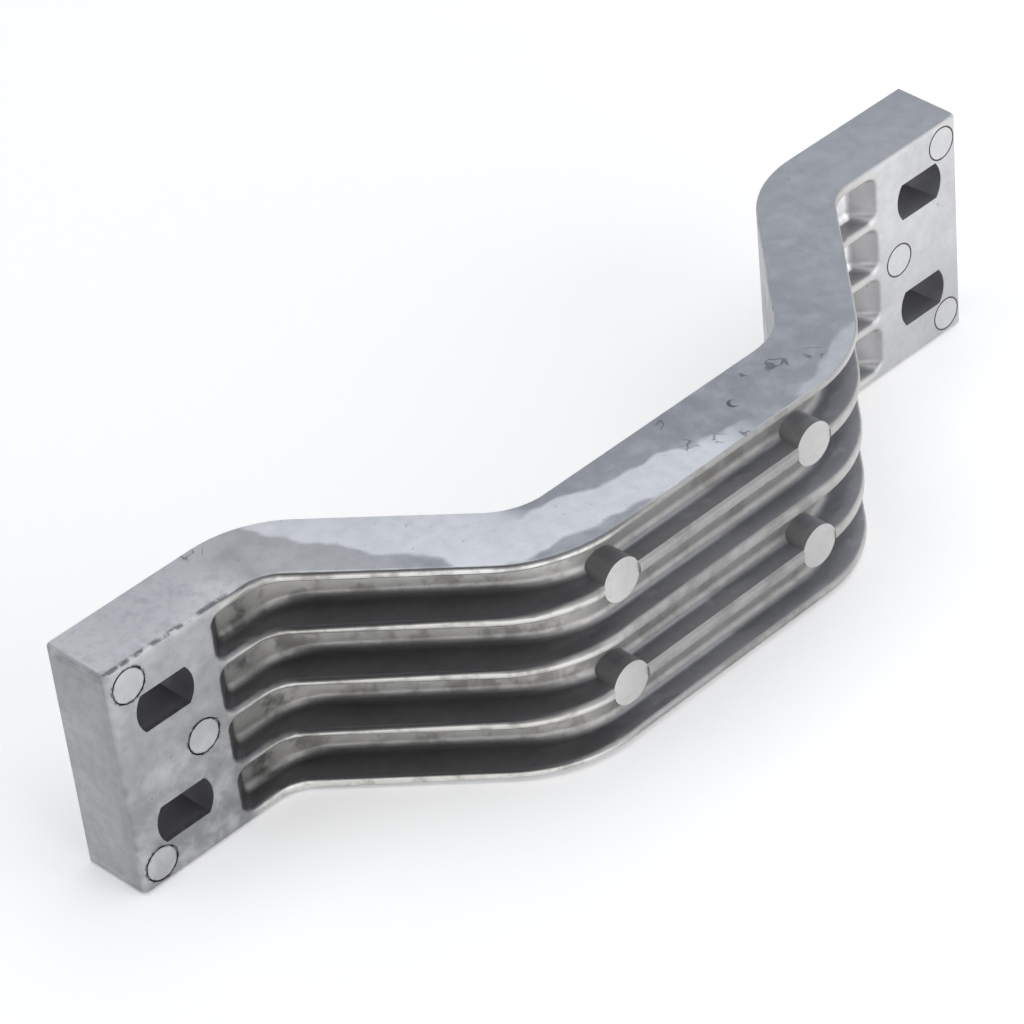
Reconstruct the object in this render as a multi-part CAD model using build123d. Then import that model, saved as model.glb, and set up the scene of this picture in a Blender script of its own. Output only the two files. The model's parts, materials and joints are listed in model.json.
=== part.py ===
# Sacrificial anode for an outboard or sterndrive bracket: one pressure die casting.
#
# A flat bar is cranked forward into a hat shape, with a bolting foot at each end and a
# raised crown between them. The front face is cut by four long grooves, which leave five
# thin ribs and give the metal more surface to waste away from. Each foot has two slotted
# holes, and four round ejector bosses are cast into the ribs on the crown.
#
# Frame, in millimetres: X runs along the bar, +Y points back at what the feet bolt to,
# and +Z points up. The origin is on the mounting plane, midway between the four slots.
from build123d import *
from math import radians, sin, tan
import os

# Bar, with its height taken on the mounting plane
bar_length = 220.5
bar_height = 50.2
foot_length = 43.15
foot_thickness = 15.0
slope_thickness = 15.2
crown_thickness = 16.4
crown_rise = 36.7
slope_angle = 47.5
crown_bend = 14.0
foot_bend = 8.8

# Draft of the outer sides, and the finish of the outer edges
side_draft = 1.1
end_corner_round = 1.4
front_edge_bevel = 0.5
back_edge_bevel = 0.4

# Grooves, which start at a distance from each end of the bar
groove_count = 4
rib_crest = 2.5
outer_rib_crest = 1.85
rib_crest_bevel = 0.65
groove_inset = 24.05
groove_end_angle = 50.0
groove_depth_foot = 4.8
groove_depth_slope = 7.8
groove_depth_crown = 5.7
groove_bend = 5.0
groove_end_round = 2.0
groove_floor_round = 1.8
flank_draft = 0.5

# Bolting slots: a round hole with two flat sides, near each end of the bar
slot_inset = 11.9
slot_rise = 25.2
slot_length = 12.9
slot_width = 8.1

# Ejector bosses, on the second rib from the top and from the bottom
boss_inset = 8.35
boss_diameter = 8.8
boss_setback = 0.5

# How far a cutting body runs past the face that it opens
overrun = 3.0

# Sizes that follow from those above
side_lean = tan(radians(side_draft))
slope_run = crown_rise / tan(radians(slope_angle))
crown_length = bar_length - 2 * (foot_length + slope_run)
foot_front_y = -foot_thickness
crown_front_y = -crown_rise - crown_thickness
crown_front_height = bar_height + 2 * crown_front_y * side_lean
rib_pitch = (crown_front_height - 2 * outer_rib_crest + rib_crest) / groove_count
groove_width = rib_pitch - rib_crest
groove_end_x = bar_length / 2 - groove_inset


def both_ways(half):
    """The points of the right half, and the same points mirrored to the left half."""
    return half + [(-x, y) for x, y in reversed(half)]


def slope_point(depth, level_y):
    """Where the right slope, sunk by depth from its front face, crosses level_y."""
    run = (crown_rise + level_y) / tan(radians(slope_angle))
    return crown_length / 2 + run + (slope_thickness - depth) / sin(radians(slope_angle)), level_y


def bar_outline():
    """Side profile of the bar, seen from above: foot, slope, crown, slope and foot."""
    back = both_ways([
        (bar_length / 2, 0),
        slope_point(slope_thickness, 0),
        slope_point(slope_thickness, -crown_rise),
    ])
    front = both_ways([
        (bar_length / 2 + foot_front_y * side_lean, foot_front_y),
        slope_point(0, foot_front_y),
        slope_point(0, crown_front_y),
    ])
    back_radii = [0, foot_bend + slope_thickness, crown_bend]
    front_radii = [end_corner_round, foot_bend, crown_bend + slope_thickness]
    return FilletPolyline(
        back + front[::-1],
        radius=back_radii + back_radii[::-1] + front_radii + front_radii[::-1],
        close=True,
    )


def drafted_bar():
    """The bar, with its top and bottom sides leaning together towards the front."""
    band = extrude(make_face(bar_outline()), bar_height, both=True)
    front_y = crown_front_y - overrun
    back_half = bar_height / 2 + overrun * side_lean
    front_half = bar_height / 2 + front_y * side_lean
    section = Polyline(
        (0, overrun, -back_half),
        (0, overrun, back_half),
        (0, front_y, front_half),
        (0, front_y, -front_half),
        close=True,
    )
    return band & extrude(make_face(section), bar_length / 2, dir=(1, 0, 0), both=True)


def groove_cutter():
    """One groove's body: a floor that cranks with the bar, and a sloping wall at each end."""
    foot_floor = foot_front_y + groove_depth_foot
    crown_floor = crown_front_y + groove_depth_crown
    lean = 1 / tan(radians(groove_end_angle))
    clear_y = crown_front_y - overrun
    floor = both_ways([
        (groove_end_x + overrun * lean, foot_front_y - overrun),
        (groove_end_x - groove_depth_foot * lean, foot_floor),
        slope_point(groove_depth_slope, foot_floor),
        slope_point(groove_depth_slope, crown_floor),
    ])
    clear_x = groove_end_x + overrun * lean
    clear = [(-clear_x, clear_y), (clear_x, clear_y)]
    half_radii = [0, groove_end_round, groove_bend, groove_bend]
    profile = FilletPolyline(
        floor + clear,
        radius=half_radii + half_radii[::-1] + [0, 0],
        close=True,
    )
    body = extrude(make_face(profile), groove_width / 2, both=True)
    flanks = body.faces().filter_by(Axis.Z)
    middle = Plane.XZ.offset(-(foot_front_y + crown_front_y) / 2)
    body = draft(flanks, middle, flank_draft)
    return body


def floor_rounded(body):
    """The groove's body with its floor edges rounded, from one end wall to the other."""
    rounding = min(groove_floor_round, 0.45 * groove_width, 0.9 * groove_bend)
    chain = []
    for flank in body.faces():
        if abs(flank.normal_at().Z) > 0.9:
            chain += [e for e in flank.edges() if abs((e @ 0.5).X) < groove_end_x
                      and (e @ 0.5).Y > crown_front_y]
    return fillet(chain, rounding)


def slot_cutter():
    """A round hole with a flat side above and below, cut along Y."""
    outline = Circle(slot_length / 2) & Rectangle(slot_length, slot_width)
    return extrude(Plane.XZ * outline, foot_thickness + overrun, both=True)


def along_y(radius, near_y, far_y):
    """A round bar lying along Y, from near_y to far_y."""
    turned = Plane((0, near_y, 0), x_dir=(1, 0, 0), z_dir=(0, 1, 0))
    return turned * Cylinder(radius, far_y - near_y, align=(Align.CENTER, Align.CENTER, Align.MIN))


def rims_bevelled(body):
    """The bar with its top, bottom and end edges bevelled, in front and then at the back."""
    far_z = 0.4 * bar_height
    far_x = 0.49 * bar_length
    leading = [f for f in body.faces() if f.normal_at().Y < -0.1 or abs(f.normal_at().X) > 0.9]
    front_rim = [e for f in leading for e in f.edges() if abs((e @ 0.5).Z) > far_z]
    body = chamfer(front_rim, front_edge_bevel)
    trailing = [f for f in body.faces() if f.normal_at().Y > 0.1]
    back_rim = [e for f in trailing for e in f.edges()
                if abs((e @ 0.5).Z) > far_z or abs((e @ 0.5).X) > far_x]
    return chamfer(back_rim, back_edge_bevel)


def cut_and_bevel(body, tool, bevel):
    """Cut the tool out of the body, and bevel the new edges where it breaks the surface."""
    opened = body - tool
    return chamfer(new_edges(body, tool, combined=opened), bevel)


def anode():
    body = rims_bevelled(drafted_bar())

    groove = floor_rounded(groove_cutter())
    for i in range(groove_count):
        level = rib_pitch * (i - (groove_count - 1) / 2)
        body = cut_and_bevel(body, Pos(0, 0, level) * groove, rib_crest_bevel)

    slot = slot_cutter()
    slot_x = bar_length / 2 - slot_inset
    for x in (-slot_x, slot_x):
        for z in (-slot_rise / 2, slot_rise / 2):
            body -= Pos(x, 0, z) * slot

    boss_front_y = crown_front_y + boss_setback
    above = along_y(boss_diameter / 2, crown_front_y - overrun, boss_front_y)
    boss = along_y(boss_diameter / 2, boss_front_y, -crown_rise - overrun)
    boss_x = crown_length / 2 - boss_inset
    boss_z = rib_pitch * (groove_count / 2 - 1)
    for x in (-boss_x, boss_x):
        for z in (-boss_z, boss_z):
            body -= Pos(x, 0, z) * above
            body += Pos(x, 0, z) * boss
    return body


os.makedirs("parts", exist_ok=True)
export_step(anode(), "parts/anode_casting.step")
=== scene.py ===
import json
from math import cos, degrees, radians, sin, sqrt, tan
import bmesh
import bpy
from mathutils import Matrix, Vector


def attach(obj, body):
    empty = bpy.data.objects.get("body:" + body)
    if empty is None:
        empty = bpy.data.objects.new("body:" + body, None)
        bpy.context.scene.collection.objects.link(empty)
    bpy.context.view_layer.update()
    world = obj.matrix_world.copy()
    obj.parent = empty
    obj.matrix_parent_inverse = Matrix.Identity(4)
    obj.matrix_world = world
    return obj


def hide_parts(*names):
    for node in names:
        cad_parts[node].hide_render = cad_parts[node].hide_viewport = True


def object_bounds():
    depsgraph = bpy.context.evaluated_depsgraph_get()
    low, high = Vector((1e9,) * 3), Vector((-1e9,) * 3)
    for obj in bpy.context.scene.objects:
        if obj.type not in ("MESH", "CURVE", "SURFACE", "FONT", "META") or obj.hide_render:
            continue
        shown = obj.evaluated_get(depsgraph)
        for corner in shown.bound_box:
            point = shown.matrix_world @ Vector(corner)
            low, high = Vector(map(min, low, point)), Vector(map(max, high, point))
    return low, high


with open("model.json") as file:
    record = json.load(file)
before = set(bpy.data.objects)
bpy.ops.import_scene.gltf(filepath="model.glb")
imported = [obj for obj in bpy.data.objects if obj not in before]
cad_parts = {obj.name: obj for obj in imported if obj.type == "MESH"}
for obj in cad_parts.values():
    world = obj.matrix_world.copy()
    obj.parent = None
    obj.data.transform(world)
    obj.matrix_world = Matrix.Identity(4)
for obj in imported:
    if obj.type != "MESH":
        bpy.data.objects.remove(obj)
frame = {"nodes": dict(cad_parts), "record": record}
cad_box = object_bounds()
MM = 0.001


# Anode casting
# The whole anode is one pressure die casting in aluminium alloy, used as it leaves the die.
# Six ejector pins pushed it out by its feet, and each left a round mark with a fine groove.
WELD_GAP = 0.001 * MM
HARD_EDGE_ANGLE = 50.0
RING_SEGMENTS = 48
RING_RADIUS = 3.5 * MM
RING_WIDTH = 0.36 * MM
RING_DEPTH = 0.2 * MM
CORNER_MARK = (105.25 * MM, 20.25 * MM)
MIDDLE_MARK = (91.8 * MM, 0.0)
BOSS_FACE = (25.12 * MM, 52.6 * MM, 11.74 * MM)

# The groove floors turn on 5 mm in the solid, and sweep round on these larger radii on the
# real casting. Each bend has its sharp corner, the way its level floor runs, and its radius.
SLOPE_TURN = radians(47.5)
SOLID_BEND = 5.0 * MM
CROWN_BEND = (Vector((33.71, -47.4)) * MM, Vector((-1.0, 0.0)), 22.0 * MM)
FOOT_BEND = (Vector((67.79, -10.2)) * MM, Vector((1.0, 0.0)), 16.0 * MM)
BEND_CUTS = 16
CUT_GAP = 0.0001 * MM
GROOVES_HALF = 22.4 * MM
FLOOR_REACH = 2.3 * MM

seats = {mount["name"]: mount["pos_m"] for mount in frame["record"]["mounts"]}
foot_front_y = seats["bolt_seat_left"][1]


def stand_piece(name, work):
    """Make an object of a finished bmesh, standing at the world's origin."""
    mesh = bpy.data.meshes.new(name)
    work.to_mesh(mesh)
    work.free()
    piece = bpy.data.objects.new(name, mesh)
    bpy.context.scene.collection.objects.link(piece)
    return piece


def merged_copy(node, name):
    """A copy of a CAD node with its loose triangles joined into one closed skin."""
    work = bmesh.new()
    work.from_mesh(frame["nodes"][node].data)
    bmesh.ops.remove_doubles(work, verts=work.verts, dist=WELD_GAP)
    return stand_piece(name, work)


def bend_height(offset, radius):
    """How far a rounded bend lies inside its sharp corner, at an offset from the middle."""
    half_turn = SLOPE_TURN / 2
    if abs(offset) >= radius * sin(half_turn):
        return abs(offset) * tan(half_turn)
    return radius / cos(half_turn) - sqrt(radius ** 2 - offset ** 2)


def ease_bend(piece, side, corner, level_run, radius):
    """Turn the groove floors on a larger radius where they meet at a corner."""
    slope_run = -level_run.x * Vector((cos(SLOPE_TURN), sin(SLOPE_TURN)))
    inward = (level_run + slope_run).normalized()
    corner, inward = (Vector((side * flat.x, flat.y, 0.0)) for flat in (corner, inward))
    across = Vector((-inward.y, inward.x, 0.0))
    reach = radius * sin(SLOPE_TURN / 2)

    def on_floor(vert):
        """Whether a vertex lies on a groove's floor or on the rounds beside it."""
        away = vert.co - corner
        above = away.dot(inward) - bend_height(away.dot(across), SOLID_BEND)
        return abs(vert.co.z) < GROOVES_HALF and abs(above) < FLOOR_REACH

    work = bmesh.new()
    work.from_mesh(piece.data)
    for i in range(BEND_CUTS + 1):
        floors = [face for face in work.faces if all(on_floor(vert) for vert in face.verts)]
        parts = {part for face in floors for part in (*face.verts, *face.edges)}
        offset = reach * (2 * i / BEND_CUTS - 1)
        bmesh.ops.bisect_plane(work, geom=floors + list(parts), dist=CUT_GAP,
                               plane_co=corner + across * offset, plane_no=across)
    for vert in work.verts:
        offset = (vert.co - corner).dot(across)
        if on_floor(vert) and abs(offset) < reach:
            vert.co += inward * (bend_height(offset, radius) - bend_height(offset, SOLID_BEND))
    work.to_mesh(piece.data)
    work.free()


def ring_cutters(name, centres):
    """One thin tube for each ejector mark, set into the face of the feet."""
    work = bmesh.new()
    facing_front = Matrix.Rotation(radians(90), 4, "X")
    for x, z in centres:
        placed = Matrix.Translation((x, foot_front_y + RING_DEPTH, z)) @ facing_front
        rims = []
        for radius in (RING_RADIUS - RING_WIDTH / 2, RING_RADIUS + RING_WIDTH / 2):
            circle = bmesh.ops.create_circle(
                work, segments=RING_SEGMENTS, radius=radius, matrix=placed)
            rims += {edge for corner in circle["verts"] for edge in corner.link_edges}
        washer = bmesh.ops.bridge_loops(work, edges=rims)["faces"]
        raised = bmesh.ops.extrude_face_region(work, geom=washer)["geom"]
        raised = [part for part in raised if isinstance(part, bmesh.types.BMVert)]
        bmesh.ops.translate(work, verts=raised, vec=(0.0, -2 * RING_DEPTH, 0.0))
    bmesh.ops.recalc_face_normals(work, faces=work.faces)
    for face in work.faces:
        face.material_index = 1
    return stand_piece(name, work)


def take_modifiers(piece):
    """Give the piece the mesh that its modifiers make, and clear them."""
    graph = bpy.context.evaluated_depsgraph_get()
    mesh = bpy.data.meshes.new_from_object(piece.evaluated_get(graph))
    piece.modifiers.clear()
    piece.data = mesh


def crisp_edges(piece):
    """Shade the skin round, apart from edges that turn more than HARD_EDGE_ANGLE."""
    work = bmesh.new()
    work.from_mesh(piece.data)
    bmesh.ops.dissolve_degenerate(work, edges=work.edges, dist=WELD_GAP)
    for face in work.faces:
        face.smooth = True
    for edge in work.edges:
        edge.smooth = edge.is_manifold and degrees(edge.calc_face_angle(0.0)) < HARD_EDGE_ANGLE
    work.to_mesh(piece.data)
    work.free()


def note_facing(piece):
    """Keep the direction that each corner of the skin faces, for the finish to read."""
    normals = [Vector(corner.vector) for corner in piece.data.corner_normals]
    facing = piece.data.attributes.new("facing", "FLOAT_VECTOR", "CORNER")
    for kept, normal in zip(facing.data, normals):
        kept.vector = normal


def linear(code):
    """An sRGB hex colour as the linear values that a shader takes."""
    parts = [int(code[i:i + 2], 16) / 255 for i in (1, 3, 5)]
    return [c / 12.92 if c <= 0.04045 else ((c + 0.055) / 1.055) ** 2.4 for c in parts] + [1.0]


def add_node(tree, kind, links=None, **settings):
    """Add a node to a material: its own settings, then values or links for its sockets."""
    node = tree.nodes.new(kind)
    for name, value in settings.items():
        setattr(node, name, value)
    for socket, value in (links or {}).items():
        if isinstance(value, bpy.types.NodeSocket):
            tree.links.new(value, node.inputs[socket])
        else:
            node.inputs[socket].default_value = value
    return node


def meeting(tree, *shares):
    """The share that is left where all the shares meet: their product."""
    least = shares[0]
    for share in shares[1:]:
        both = add_node(tree, "ShaderNodeMath", {0: least, 1: share}, operation="MULTIPLY")
        least = both.outputs["Value"]
    return least


def joined(tree, *shares):
    """The most that any of the shares gives."""
    most = shares[0]
    for share in shares[1:]:
        either = add_node(tree, "ShaderNodeMath", {0: most, 1: share}, operation="MAXIMUM")
        most = either.outputs["Value"]
    return most


def coated(tree, under, code, strength, *shares):
    """The colour under, with a coat of another at a strength where all the shares meet."""
    return add_node(tree, "ShaderNodeMix", {
        "Factor": meeting(tree, strength, *shares), "A": under, "B": linear(code),
    }, data_type="RGBA").outputs[2]


LEFT = (-1, 0, 0)
RIGHT = (1, 0, 0)
FRONT = (0, -1, 0)
BACK = (0, 1, 0)
DOWN = (0, 0, -1)
UP = (0, 0, 1)


def beyond(tree, at, direction, none, full):
    """A share that goes from 0 to 1 as a place goes from none to full along a direction."""
    along = add_node(tree, "ShaderNodeVectorMath", {0: at, 1: direction}, operation="DOT_PRODUCT")
    return add_node(tree, "ShaderNodeMapRange", {
        "Value": along.outputs["Value"], "From Min": none, "From Max": full,
    }, interpolation_type="SMOOTHSTEP").outputs["Result"]


def within(tree, at, direction, full, none):
    """A share that is 1 up to full along a direction, and falls to 0 by none."""
    return beyond(tree, at, direction, none, full)


def left_of(tree, at, start, end, softness=1.4 * MM):
    """A share of 1 to the left of the line from start to end on the top side."""
    run = (Vector(end) - Vector(start)).normalized()
    across = Vector((-run.y, run.x, 0.0))
    level = across.x * start[0] * MM + across.y * start[1] * MM
    return beyond(tree, at, across, level - softness / 2, level + softness / 2)


def spot(tree, at, centre, full, none):
    """A share by distance from a centre: 1 at full and 0 at none, whichever is the nearer."""
    away = add_node(tree, "ShaderNodeVectorMath", {0: at, 1: centre}, operation="DISTANCE")
    return add_node(tree, "ShaderNodeMapRange", {
        "Value": away.outputs["Value"], "From Min": none, "From Max": full,
    }, interpolation_type="SMOOTHSTEP").outputs["Result"]


def clouds(tree, at, lump, thin, thick):
    """Cloudy patches about one lump across, 0 where thin and 1 where thick."""
    label = f"mist_of_{lump / MM:.1f}_mm"
    mist = tree.nodes.get(label) or add_node(tree, "ShaderNodeTexNoise", {
        "Vector": at, "Scale": 1 / lump, "Detail": 3.0, "Roughness": 0.58,
    }, name=label)
    return add_node(tree, "ShaderNodeMapRange", {
        "Value": mist.outputs["Fac"], "From Min": thin, "From Max": thick,
    }, interpolation_type="SMOOTHSTEP").outputs["Result"]


# As-cast aluminium, die cast and untouched: a satin grey that is clouded where the melt met
# colder metal and blotted with dross, with painted shade in the grooves and painted light and
# reflections on its ribs and sides.
def as_cast_aluminium():
    """The finish of the casting. Folded and tilt are place and facing, mirrored to one half."""
    material = bpy.data.materials.new("as_cast_aluminium")
    material.use_nodes = True
    tree = material.node_tree
    shader = tree.nodes["Principled BSDF"]
    shader.inputs["Metallic"].default_value = 0.75
    place = add_node(tree, "ShaderNodeTexCoord").outputs["Object"]
    facing = add_node(tree, "ShaderNodeAttribute", attribute_name="facing").outputs["Vector"]
    folded = add_node(tree, "ShaderNodeVectorMath", {0: place}, operation="ABSOLUTE").outputs[0]
    tilt = add_node(tree, "ShaderNodeVectorMath", {0: facing}, operation="ABSOLUTE").outputs[0]

    # Skin: flow clouds of 16 mm with a mottle of 2.4 mm in them, paler towards the right end.
    flow = clouds(tree, place, 16 * MM, 0.38, 0.62)
    mottle = clouds(tree, place, 2.4 * MM, 0.36, 0.66)
    right_end = beyond(tree, place, RIGHT, 60 * MM, 90 * MM)
    colour = coated(tree, linear("#c9cacc"), "#adafb2", 1.0, flow)
    colour = coated(tree, colour, "#8e9093", 0.25, mottle)
    colour = coated(tree, colour, "#e4e4e4", 0.5, right_end)

    # Ribs: a warmer tint than the rest, a painted reflection of a warm floor. Duller on the crown,
    # and painted light makes them palest at the left, on the top rib above all. Soiled patches,
    # and bright specks that are painted glints of fine nicks.
    fronts = beyond(tree, facing, FRONT, 0.4, 0.6)
    ribs = meeting(tree, within(tree, folded, RIGHT, 80 * MM, 88 * MM), fronts)
    crown = within(tree, folded, RIGHT, 20 * MM, 40 * MM)
    left_half = beyond(tree, place, LEFT, 22 * MM, 38 * MM)
    left_ribs = meeting(tree, left_half, ribs)
    past_left_bend = beyond(tree, place, RIGHT, -64 * MM, -50 * MM)
    top_rib = beyond(tree, place, UP, 14 * MM, 19 * MM)
    soiled = clouds(tree, place, 5 * MM, 0.46, 0.66)
    left_of_crown = beyond(tree, place, LEFT, -40 * MM, -20 * MM)
    glint_specks = clouds(tree, place, 0.9 * MM, 0.66, 0.74)
    colour = coated(tree, colour, "#d2cec8", 0.6, ribs)
    colour = coated(tree, colour, "#8f8f90", 0.65, crown, fronts)
    colour = coated(tree, colour, "#f4f2ee", 0.7, left_ribs)
    colour = coated(tree, colour, "#ffffff", 0.6, left_ribs, past_left_bend, top_rib)
    colour = coated(tree, colour, "#7f7b75", 0.5, ribs, soiled, left_of_crown)
    colour = coated(tree, colour, "#f4f3f0", 0.4, ribs, glint_specks)

    # Left foot: a greyer coat over its front, clouded and thicker away from the top corner.
    left_foot = beyond(tree, place, LEFT, 72 * MM, 84 * MM)
    left_front = meeting(tree, left_foot, fronts)
    from_corner = beyond(tree, place, (0.5, 0, -1), -72 * MM, -30 * MM)
    grey_clouds = clouds(tree, place, 5 * MM, 0.3, 0.64)
    colour = coated(tree, colour, "#9b9c9e", 0.3, left_front)
    colour = coated(tree, colour, "#77787a", 0.65, left_front, from_corner, grey_clouds)

    # Right foot: pale, and a little duller low down.
    right_front = meeting(tree, beyond(tree, place, RIGHT, 80 * MM, 88 * MM), fronts)
    low_down = beyond(tree, place, DOWN, 0, 20 * MM)
    colour = coated(tree, colour, "#a4a6a9", 0.4, right_front, low_down)

    # Left end: dark at its top back corner and along its front edge, over a painted shade that
    # darkens the whole end face.
    left_end = meeting(tree, beyond(tree, facing, LEFT, 0.8, 0.95), left_foot)
    high_back = beyond(tree, place, (0, 0.6, 1), 6 * MM, 22 * MM)
    front_band = beyond(tree, place, FRONT, 10.5 * MM, 13.5 * MM)
    colour = coated(tree, colour, "#707276", 0.7, left_end, high_back, grey_clouds)
    colour = coated(tree, colour, "#8d8f92", 0.3, left_end)
    colour = coated(tree, colour, "#85878a", 0.5, left_end, front_band)

    # Top side: a pale tongue of metal over a cooler, bluer grey that is a painted reflection of
    # the grey room above, with wavering edges. Noise drifts the tongue's outline by up to 3.5 mm
    # either way.
    upward = beyond(tree, facing, UP, 0.75, 0.95)
    drift = add_node(tree, "ShaderNodeTexNoise", {
        "Vector": place, "Scale": 1 / (9 * MM), "Detail": 2.0,
    })
    drift = add_node(tree, "ShaderNodeVectorMath", {
        0: drift.outputs["Color"], 1: [7 * MM] * 3, 2: [-3.5 * MM] * 3,
    }, operation="MULTIPLY_ADD")
    wavering = add_node(tree, "ShaderNodeVectorMath", {0: place, 1: drift.outputs[0]}).outputs[0]
    sky_tinted_top = meeting(tree, upward, beyond(tree, place, RIGHT, -76 * MM, -44 * MM))
    left_top = meeting(tree, upward, left_foot)
    pale_patches = clouds(tree, place, 5 * MM, 0.4, 0.68)
    right_slope = beyond(tree, place, RIGHT, 28 * MM, 60 * MM)
    small_stains = clouds(tree, place, 2.4 * MM, 0.4, 0.74)
    colour = coated(tree, colour, "#9ca0a9", 0.75, sky_tinted_top)
    colour = coated(tree, colour, "#c6cad2", 0.45, sky_tinted_top, pale_patches)
    colour = coated(tree, colour, "#c2c6ce", 0.45, upward, right_slope)
    colour = coated(tree, colour, "#dfe1e5", 0.65, left_top)
    colour = coated(tree, colour, "#8f939b", 0.4, left_top, small_stains)
    tongue_back = joined(tree, left_of(tree, wavering, (3.0, -48.3), (-28.8, -39.6)),
                         beyond(tree, place, LEFT, 32 * MM, 38 * MM))
    tongue_left = left_of(tree, wavering, (-68.9, -2.2), (-52.2, -36.5))
    tongue_front = left_of(tree, wavering, (-43.0, -46.8), (-7.9, -53.8))
    tongue_tip = beyond(tree, place, LEFT, -14 * MM, -2 * MM)
    colour = coated(tree, colour, "#eef0f6", 0.8, upward,
                    tongue_back, tongue_left, tongue_front, tongue_tip)
    streak_edge = left_of(tree, wavering, (42.2, -45.7), (21.0, -52.5))
    streak_start = beyond(tree, place, RIGHT, 20 * MM, 24 * MM)
    colour = coated(tree, colour, "#dfe2e8", 0.55, upward, streak_edge, streak_start)

    # Groove and slot walls: painted shade in clouds, darkest to the left and deep down, and
    # painted light where they come out near the crests.
    walls = within(tree, tilt, BACK, 0.15, 0.62)
    inner = within(tree, folded, UP, 22.6 * MM, 23.0 * MM)
    clear_of_ends = within(tree, folded, RIGHT, 108.5 * MM, 108.7 * MM)
    cut_walls = meeting(tree, walls, inner, clear_of_ends)
    wall_shade_clouds = clouds(tree, place, 5 * MM, 0.1, 0.5)
    leftward = beyond(tree, place, LEFT, -40 * MM, 60 * MM)
    slope_outward = (sin(SLOPE_TURN), cos(SLOPE_TURN), 0.0)
    shallow = joined(tree, beyond(tree, folded, slope_outward, 58.5 * MM, 64 * MM),
                     beyond(tree, folded, BACK, 48.5 * MM, 53 * MM))
    colour = coated(tree, colour, "#7c7c7f", 0.55, cut_walls, wall_shade_clouds)
    colour = coated(tree, colour, "#4c4c4f", 0.82, cut_walls, leftward)
    colour = coated(tree, colour, "#a6a6a9", 0.65, walls, inner, shallow, wall_shade_clouds)

    # Rounds and rib edges on the left half: painted shade, which dulls the shine the lamps give
    # them.
    rounds = beyond(tree, tilt, UP, 0.06, 0.5)
    rising = meeting(tree, beyond(tree, facing, UP, 0.02, 0.22), within(tree, tilt, UP, 0.7, 0.95))
    off_left_foot = beyond(tree, place, RIGHT, -84 * MM, -76 * MM)
    rib_edges = meeting(tree, rising, left_half, off_left_foot)
    colour = coated(tree, colour, "#5e5e60", 0.75, rounds, inner, clear_of_ends, left_half)
    colour = coated(tree, colour, "#2c2c2e", 0.62, rib_edges, shallow, inner)

    # Pockets where the grooves run out in the feet: painted light on their fronts at the right,
    # over painted shade on their rounds, and painted shade at the left with soot blotches.
    right_foot = beyond(tree, place, RIGHT, 66 * MM, 74 * MM)
    pockets = beyond(tree, place, BACK, foot_front_y + 0.1 * MM, foot_front_y + 2.5 * MM)
    left_pockets = meeting(tree, beyond(tree, place, LEFT, 60 * MM, 78 * MM), fronts, pockets)
    colour = coated(tree, colour, "#8c8c8e", 0.7, right_foot, rounds, inner, pockets)
    colour = coated(tree, colour, "#ffffff", 0.85, right_foot, fronts, pockets)
    colour = coated(tree, colour, "#7d7c7a", 0.75, left_pockets)
    colour = coated(tree, colour, "#454442", 0.7, left_pockets, soiled)

    # Slots and the grooves' end walls: painted shade set by the way each wall faces, dark at the
    # left foot and grey at the right, and the slot walls' painted shade partly lifted.
    slots = beyond(tree, folded, RIGHT, 88 * MM, 90 * MM)
    turned_right = beyond(tree, facing, RIGHT, 0.2, 0.6)
    turned_left = beyond(tree, facing, LEFT, 0.2, 0.6)
    right_end_walls = beyond(tree, place, RIGHT, 80 * MM, 82 * MM)
    colour = coated(tree, colour, "#9a9a9c", 0.35, slots, cut_walls)
    colour = coated(tree, colour, "#4d4e51", 0.85, left_foot, turned_right)
    colour = coated(tree, colour, "#8f8f91", 0.6, right_end_walls, turned_left, fronts)

    # Ejector marks: paler discs, with soot crumbs round those on the left foot.
    feet = beyond(tree, place, FRONT, -foot_front_y - 0.3 * MM, -foot_front_y - 0.1 * MM)
    crumbs = clouds(tree, place, 0.9 * MM, 0.5, 0.56)
    for x, z in (CORNER_MARK, MIDDLE_MARK):
        centre = (x, -foot_front_y, z)
        near_ring = spot(tree, folded, centre, RING_RADIUS + 0.2 * MM, RING_RADIUS + 0.6 * MM)
        off_disc = spot(tree, folded, centre, RING_RADIUS - 0.2 * MM, RING_RADIUS - 0.6 * MM)
        disc = spot(tree, folded, centre, RING_RADIUS - 0.4 * MM, RING_RADIUS)
        colour = coated(tree, colour, "#3a3a3b", 0.8, near_ring, off_disc, feet, crumbs, left_foot)
        colour = coated(tree, colour, "#dcdcdd", 0.4, disc, feet)

    # Bosses: a paler face, and sides where the grooves' painted shade is partly lifted.
    boss_face = spot(tree, folded, BOSS_FACE, 4.5 * MM, 4.7 * MM)
    boss_side = spot(tree, folded, BOSS_FACE, 7.0 * MM, 8.5 * MM)
    square_on = beyond(tree, facing, FRONT, 0.9, 0.98)
    turned_aside = beyond(tree, tilt, RIGHT, 0.2, 0.6)
    off_front = within(tree, tilt, BACK, 0.1, 0.3)
    colour = coated(tree, colour, "#dededd", 0.45, boss_face, square_on)
    colour = coated(tree, colour, "#a5a3a1", 0.5, boss_side, turned_aside, off_front)

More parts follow.
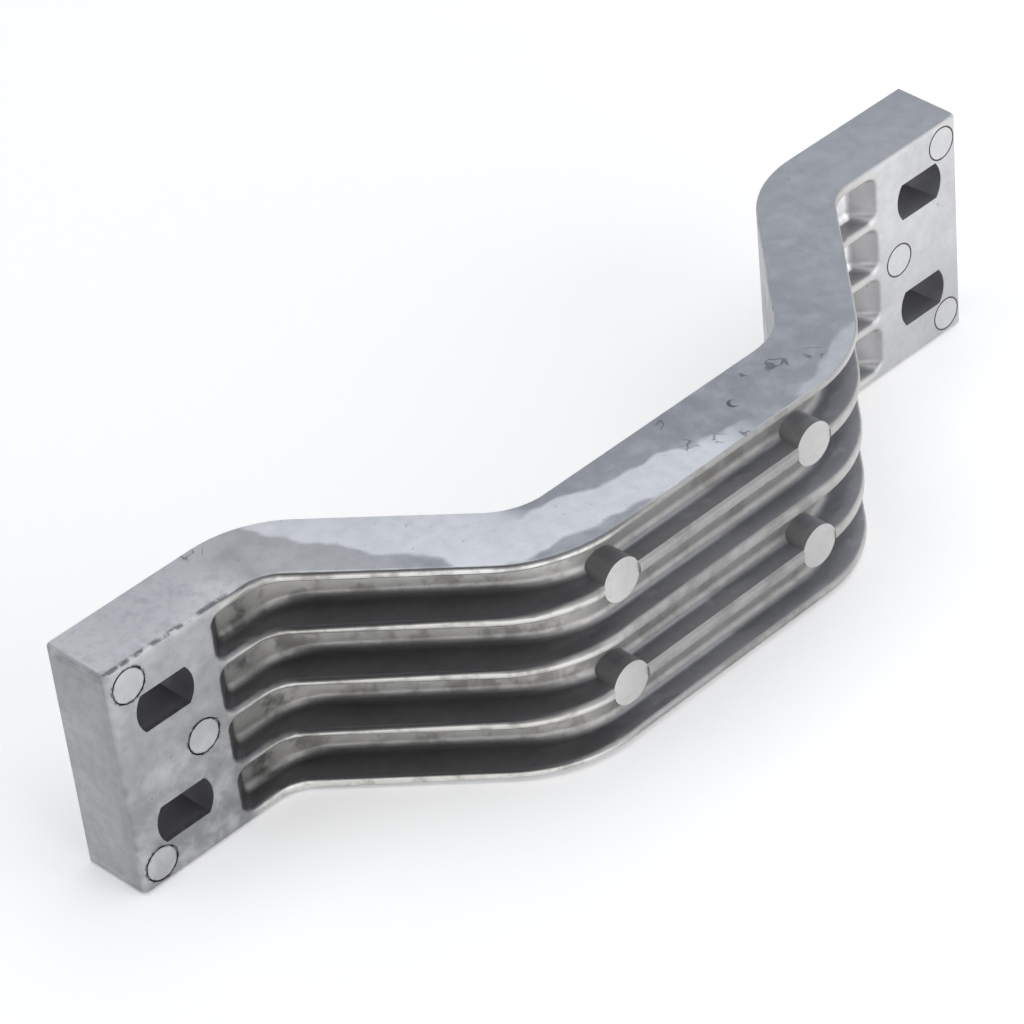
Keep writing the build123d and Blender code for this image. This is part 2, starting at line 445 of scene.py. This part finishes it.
    # Dross: hair lines in blots of 1 to 3 mm, with a crater near the middle of the crown. A
    # blot is its place on the top side and its radius, in millimetres.
    hair = add_node(tree, "ShaderNodeTexNoise", {
        "Vector": place, "Scale": 1 / (3.5 * MM), "Detail": 1.0,
    })
    hair = add_node(tree, "ShaderNodeMath", {
        0: hair.outputs["Fac"], 1: 0.5, 2: 0.025,
    }, operation="COMPARE").outputs["Value"]
    top_z = cad_box[1].z
    blots = [(-0.7, -47.1, 2.6), (4.1, -49.9, 2.2), (8.0, -52.3, 1.8), (26.6, -42.9, 3.2),
             (33.6, -45.8, 2.6), (20.5, -40.6, 1.4), (0.7, -39.7, 2.2), (-78.0, -0.7, 3.0)]
    blotted = [spot(tree, place, (x * MM, y * MM, top_z), 0.6 * radius * MM, radius * MM)
               for x, y, radius in blots]
    crater = spot(tree, place, (13.0 * MM, -44.8 * MM, top_z), 1.3 * MM, 1.6 * MM)
    crater_rim = spot(tree, place, (13.6 * MM, -45.0 * MM, top_z), 1.5 * MM, 1.2 * MM)
    colour = coated(tree, colour, "#55585f", 0.6, joined(tree, *blotted), hair)
    colour = coated(tree, colour, "#43464d", 0.8, crater, crater_rim, upward)

    # Dirt along the front edge of the top side, broken on the left foot.
    foot_edge = beyond(tree, place, FRONT, 13.6 * MM, 14.3 * MM)
    tilted_up = beyond(tree, facing, UP, 0.5, 0.7)
    on_left_foot = beyond(tree, place, LEFT, 78 * MM, 81 * MM)
    broken = clouds(tree, place, 2.4 * MM, 0.4, 0.56)
    colour = coated(tree, colour, "#5d5f64", 0.8, foot_edge, tilted_up, on_left_foot, broken)

    # A dark line under the top edge, along the top rib of the left half: a painted reflection of
    # dark surroundings in the rounded edge, with painted shade on the top rib's rising edges.
    under_edge = beyond(tree, place, UP, 23.1 * MM, 23.5 * MM)
    leaning_front = beyond(tree, facing, FRONT, 0.12, 0.4)
    left_of_middle = beyond(tree, place, LEFT, 10 * MM, 30 * MM)
    off_left_end = beyond(tree, place, RIGHT, -88 * MM, -80 * MM)
    top_rib_only = beyond(tree, place, UP, 22.6 * MM, 23.0 * MM)
    colour = coated(tree, colour, "#4a4b4e", 0.8, under_edge, rounds, leaning_front,
                    left_of_middle, off_left_end)
    colour = coated(tree, colour, "#3c3c3e", 0.45, top_rib_only, rib_edges, fronts)

    # Pits: specks of 0.5 mm, drawn larger than the real ones so that they show.
    pits = clouds(tree, place, 0.9 * MM, 0.67, 0.75)
    colour = coated(tree, colour, "#66676a", 0.45, pits)
    tree.links.new(colour, shader.inputs["Base Color"])

    # Satin polish that is duller in the mottle, over a grit of 0.6 mm that stands 0.02 mm high.
    polish = add_node(tree, "ShaderNodeMapRange", {
        "Value": mottle, "To Min": 0.44, "To Max": 0.56,
    })
    tree.links.new(polish.outputs["Result"], shader.inputs["Roughness"])
    grit = add_node(tree, "ShaderNodeTexNoise", {
        "Vector": place, "Scale": 1 / (0.6 * MM), "Detail": 1.0,
    })
    grain = add_node(tree, "ShaderNodeBump", {
        "Height": grit.outputs["Fac"], "Distance": 0.02 * MM,
    })
    tree.links.new(grain.outputs["Normal"], shader.inputs["Normal"])
    return material


# Burnt release agent packed in the ejector grooves: a dull near-black soot, broken where it
# has fallen out and the grey metal shows.
def burnt_release_agent():
    """The finish of the ejector grooves, thick at the left foot and thin at the right."""
    material = bpy.data.materials.new("burnt_release_agent")
    material.use_nodes = True
    tree = material.node_tree
    shader = tree.nodes["Principled BSDF"]
    shader.inputs["Roughness"].default_value = 0.85
    place = add_node(tree, "ShaderNodeTexCoord").outputs["Object"]
    fallen_out = clouds(tree, place, 1.6 * MM, 0.5, 0.6)
    right_half = beyond(tree, place, RIGHT, -20 * MM, 20 * MM)
    soot = coated(tree, linear("#1d1c1c"), "#8d8d8d", 0.7, fallen_out)
    soot = coated(tree, soot, "#77716a", 0.7, right_half)
    tree.links.new(soot, shader.inputs["Base Color"])
    return material


casting = merged_copy("anode_casting", "cast_anode")
casting.data.materials.append(as_cast_aluminium())
casting.data.materials.append(burnt_release_agent())
for side in (-1, 1):
    ease_bend(casting, side, *CROWN_BEND)
    ease_bend(casting, side, *FOOT_BEND)

marks = [(side * MIDDLE_MARK[0], MIDDLE_MARK[1]) for side in (-1, 1)]
marks += [(side * CORNER_MARK[0], level * CORNER_MARK[1]) for side in (-1, 1) for level in (-1, 1)]
cutter = ring_cutters("ejector_ring_cutters", marks)
casting.modifiers.new("ejector_grooves", "BOOLEAN").object = cutter
take_modifiers(casting)
bpy.data.objects.remove(cutter)

crisp_edges(casting)
casting.modifiers.new("flat_faces_stay_flat", "WEIGHTED_NORMAL").keep_sharp = True
take_modifiers(casting)
note_facing(casting)
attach(casting, "root")
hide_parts("anode_casting")


# Floor
# A plain pale sheet under the part, which stands on its lower long side. It is white to the
# camera and in the metal's reflections, and still takes the part's shadow.
FLOOR_HALF = 3.0
FLOOR_LIFT = 0.24
MATT = 0.9


def flat_sheet(name, half_width, half_depth, colour):
    """A flat sheet lying level at the world's origin, with a plain matt finish."""
    work = bmesh.new()
    bmesh.ops.create_grid(work, x_segments=1, y_segments=1, size=1.0)
    bmesh.ops.scale(work, verts=work.verts, vec=(half_width, half_depth, 1.0))
    sheet = stand_piece(name, work)
    material = bpy.data.materials.new(name + "_paint")
    material.use_nodes = True
    shader = material.node_tree.nodes["Principled BSDF"]
    shader.inputs["Base Color"].default_value = linear(colour)
    shader.inputs["Roughness"].default_value = MATT
    shader.inputs["Specular IOR Level"].default_value = 0.0
    sheet.data.materials.append(material)
    return sheet


floor = flat_sheet("studio_floor", FLOOR_HALF, FLOOR_HALF, "#f4f4f4")
floor.location.z = cad_box[0].z
paint = floor.data.materials[0].node_tree
rays = add_node(paint, "ShaderNodeLightPath").outputs
seen = joined(paint, rays["Is Camera Ray"], rays["Is Glossy Ray"], rays["Is Transmission Ray"])
lift = meeting(paint, seen, FLOOR_LIFT)
paint.links.new(lift, paint.nodes["Principled BSDF"].inputs["Emission Strength"])
paint.nodes["Principled BSDF"].inputs["Emission Color"].default_value = linear("#ffffff")


# Light
# A large soft lamp overhead and a low one in front, in a pale room. A dark card over the
# camera, which the camera doesn't see, gives the metal something dark to mirror.
MIDDLE = (0.0, 0.0, 0.0)
OVERHEAD_AT = (0.0, -0.1, 1.3)
OVERHEAD_SIZE = (1.6, 1.6)
OVERHEAD_WATTS = 12.0
FRONT_AT = (-0.3, -1.3, 0.55)
FRONT_SIZE = (2.6, 1.2)
FRONT_WATTS = 17.5
CARD_AT = (-0.8, -0.6, 0.75)
CARD_HALF = (0.7, 0.6)


def aim(thing, place):
    """Stand a lamp or card at a place, facing the part."""
    thing.location = place
    thing.rotation_euler = (Vector(MIDDLE) - Vector(place)).to_track_quat("-Z", "Y").to_euler()


def soft_lamp(name, place, size, watts):
    """A flat lamp of even light, aimed at the part."""
    lamp = bpy.data.lights.new(name, "AREA")
    lamp.shape = "RECTANGLE"
    lamp.size, lamp.size_y = size
    lamp.energy = watts
    stand = bpy.data.objects.new(name, lamp)
    bpy.context.scene.collection.objects.link(stand)
    aim(stand, place)


soft_lamp("overhead_lamp", OVERHEAD_AT, OVERHEAD_SIZE, OVERHEAD_WATTS)
soft_lamp("front_lamp", FRONT_AT, FRONT_SIZE, FRONT_WATTS)

card = flat_sheet("dark_card", *CARD_HALF, "#101010")
card.visible_camera = False
aim(card, CARD_AT)

# The room is nearly white near the floor, and a cooler grey from about 24 degrees up.
world = bpy.data.worlds.new("pale_room")
world.use_nodes = True
bpy.context.scene.world = world
sky = world.node_tree
direction = add_node(sky, "ShaderNodeTexCoord").outputs["Generated"]
height = beyond(sky, direction, UP, 0.1, 0.4)
room = coated(sky, linear("#f2f2f2"), "#9c9fa4", 1.0, height)
sky.links.new(room, sky.nodes["Background"].inputs["Color"])
sky.nodes["Background"].inputs["Strength"].default_value = 1.0


# Camera
# A long lens above and to the left of the part, turned a little about its own axis.
SENSOR_WIDTH = 36.0
FOCAL_LENGTH = 143.55
CAMERA_AT = (-404.65 * MM, -460.47 * MM, 454.76 * MM)
CAMERA_TURN = (radians(52.437), radians(5.063), radians(-44.998))

camera_data = bpy.data.cameras.new("camera")
camera_data.sensor_width = SENSOR_WIDTH
camera_data.lens = FOCAL_LENGTH
camera = bpy.data.objects.new("camera", camera_data)
bpy.context.scene.collection.objects.link(camera)
camera.location = CAMERA_AT
camera.rotation_euler = CAMERA_TURN
bpy.context.scene.camera = camera

bpy.context.scene.view_settings.view_transform = "Standard"
